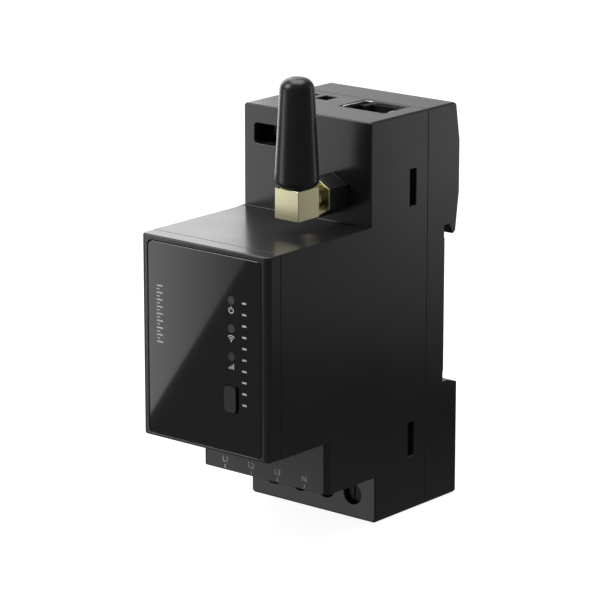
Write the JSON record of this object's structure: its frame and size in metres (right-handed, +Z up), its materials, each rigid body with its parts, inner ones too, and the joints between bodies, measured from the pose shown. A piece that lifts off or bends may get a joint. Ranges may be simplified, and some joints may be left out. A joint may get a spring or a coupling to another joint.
{
  "type": "smart electric meter",
  "caption": "Two-module rail-mounted smart energy meter with stepped case, glossy panel, push button, elbow antenna, network socket, screw terminals and a sprung rail latch.",
  "frame": {"origin": "middle of the flat seat that rests on the rail, half way up the 35 mm rail notch", "axes": "+Z up along the case's height, +Y backwards into the rail and the wall, front panel faces -Y, antenna and network socket on the +X side"},
  "size_m": [0.0356, 0.0658, 0.1006],
  "materials": {
    "housing_plastic": "fine spark-eroded texture, satin",
    "panel_gloss": "polished, with printed legends",
    "button_plastic": "satin",
    "latch_plastic": "satin nylon",
    "insulator_plastic": "matte",
    "lens_plastic": "clear diffuse",
    "led_body": "moulded",
    "nickel_steel": "nickel plated",
    "shield_metal": "bright tinned sheet",
    "gold_brass": "plated",
    "brass": "machined, satin",
    "copper": "bare copper",
    "boot_plastic": "matte black",
    "rubber_black": "satin rubber",
    "ptfe": "white",
    "board_green": "solder mask",
    "ferrite": "sintered",
    "winding": "yellow tape",
    "part_black": "moulded",
    "capacitor_can": "shrink sleeve",
    "fuse_ceramic": "glazed",
    "varistor_blue": "lacquered",
    "spring_steel": "drawn wire"
  },
  "bodies": {
    "case": {"antenna_jack": "brass", "board_link": "insulator_plastic", "bulk_capacitor": "capacitor_can", "busbar_l1": "copper", "busbar_l2": "copper", "busbar_l3": "copper", "busbar_n": "copper", "current_sensor_l1": "ferrite", "current_sensor_l2": "ferrite", "current_sensor_l3": "ferrite", "display_board": "board_green", "front_cover": "housing_plastic", "front_housing": "housing_plastic", "front_panel": "panel_gloss", "input_fuse": "fuse_ceramic", "isolation_barrier": "insulator_plastic", "jack_insulator": "ptfe", "jack_panel_nut": "nickel_steel", "latch_spring": "spring_steel", "light_pipe_1": "lens_plastic", "light_pipe_2": "lens_plastic", "light_pipe_3": "lens_plastic", "main_board": "board_green", "metering_chip": "part_black", "power_board": "board_green", "radio_module": "board_green", "radio_shield": "shield_metal", "rear_base": "housing_plastic", "signal_contacts": "nickel_steel", "signal_terminal": "insulator_plastic", "socket_contacts": "gold_brass", "socket_insert": "insulator_plastic", "socket_shield": "shield_metal", "status_led_1": "led_body", "status_led_2": "led_body", "status_led_3": "led_body", "surge_varistor": "varistor_blue", "tact_switch": "insulator_plastic", "terminal_insert": "insulator_plastic", "transformer_core": "ferrite", "transformer_winding": "winding"},
    "antenna": {"antenna_elbow": "brass", "antenna_collar": "brass", "antenna_sleeve": "rubber_black", "antenna_radiator": "copper"},
    "coupling_nut": {"coupling_nut": "brass", "nut_boot": "boot_plastic"},
    "button": {"reset_button": "button_plastic"},
    "plunger": {"switch_plunger": "insulator_plastic"},
    "latch": {"rail_latch": "latch_plastic"},
    "signal_screw_1": {"signal_screw_1": "nickel_steel"},
    "signal_screw_2": {"signal_screw_2": "nickel_steel"},
    "screw_l1": {"terminal_screw_l1": "nickel_steel"},
    "cage_l1": {"clamp_cage_l1": "nickel_steel"},
    "screw_l2": {"terminal_screw_l2": "nickel_steel"},
    "cage_l2": {"clamp_cage_l2": "nickel_steel"},
    "screw_l3": {"terminal_screw_l3": "nickel_steel"},
    "cage_l3": {"clamp_cage_l3": "nickel_steel"},
    "screw_n": {"terminal_screw_n": "nickel_steel"},
    "cage_n": {"clamp_cage_n": "nickel_steel"}
  },
  "joints": [
    {"name": "antenna_turn", "type": "hinge", "parent": "case", "child": "antenna", "pos_m": [0.008, -0.0306, 0.0286], "axis": [0, 1, 0], "range_deg": [-90, 90]},
    {"name": "coupling_nut_turn", "type": "hinge", "parent": "antenna", "child": "coupling_nut", "pos_m": [0.008, -0.0306, 0.0286], "axis": [0, 1, 0], "continuous": true},
    {"name": "button_press", "type": "slide", "parent": "case", "child": "button", "axis": [0, 1, 0], "range_m": [0, 0.0005], "stiffness_N_per_m": 600},
    {"name": "plunger_press", "type": "slide", "parent": "case", "child": "plunger", "axis": [0, 1, 0], "range_m": [0, 0.0005]},
    {"name": "latch_slide", "type": "slide", "parent": "case", "child": "latch", "axis": [0, 0, -1], "range_m": [0, 0.003], "stiffness_N_per_m": 900, "deforming": ["latch_spring"]},
    {"name": "screw_l1_turn", "type": "hinge", "parent": "case", "child": "screw_l1", "pos_m": [-0.01129, -0.023, -0.0394], "axis": [0, 1, 0], "range_deg": [0, 1320]},
    {"name": "cage_l1_rise", "type": "slide", "parent": "case", "child": "cage_l1", "axis": [0, -1, 0], "range_m": [0, 0.0022]},
    {"name": "screw_l2_turn", "type": "hinge", "parent": "case", "child": "screw_l2", "pos_m": [-0.00377, -0.023, -0.0394], "axis": [0, 1, 0], "range_deg": [0, 1320]},
    {"name": "cage_l2_rise", "type": "slide", "parent": "case", "child": "cage_l2", "axis": [0, -1, 0], "range_m": [0, 0.0022]},
    {"name": "screw_l3_turn", "type": "hinge", "parent": "case", "child": "screw_l3", "pos_m": [0.00377, -0.023, -0.0394], "axis": [0, 1, 0], "range_deg": [0, 1320]},
    {"name": "cage_l3_rise", "type": "slide", "parent": "case", "child": "cage_l3", "axis": [0, -1, 0], "range_m": [0, 0.0022]},
    {"name": "screw_n_turn", "type": "hinge", "parent": "case", "child": "screw_n", "pos_m": [0.01129, -0.023, -0.0394], "axis": [0, 1, 0], "range_deg": [0, 1320]},
    {"name": "cage_n_rise", "type": "slide", "parent": "case", "child": "cage_n", "axis": [0, -1, 0], "range_m": [0, 0.0022]},
    {"name": "signal_screw_1_turn", "type": "hinge", "parent": "case", "child": "signal_screw_1", "pos_m": [-0.01205, -0.0214, 0.0386], "axis": [0, 1, 0], "range_deg": [0, 1080]},
    {"name": "signal_screw_2_turn", "type": "hinge", "parent": "case", "child": "signal_screw_2", "pos_m": [-0.00697, -0.0214, 0.0386], "axis": [0, 1, 0], "range_deg": [0, 1080]}
  ],
  "couplings": [
    {"joint": "plunger_press", "follows": "button_press", "ratio": 1},
    {"joint": "screw_l1_turn", "follows": "cage_l1_rise", "rad_per_m": 10472},
    {"joint": "screw_l2_turn", "follows": "cage_l2_rise", "rad_per_m": 10472},
    {"joint": "screw_l3_turn", "follows": "cage_l3_rise", "rad_per_m": 10472},
    {"joint": "screw_n_turn", "follows": "cage_n_rise", "rad_per_m": 10472}
  ]
}
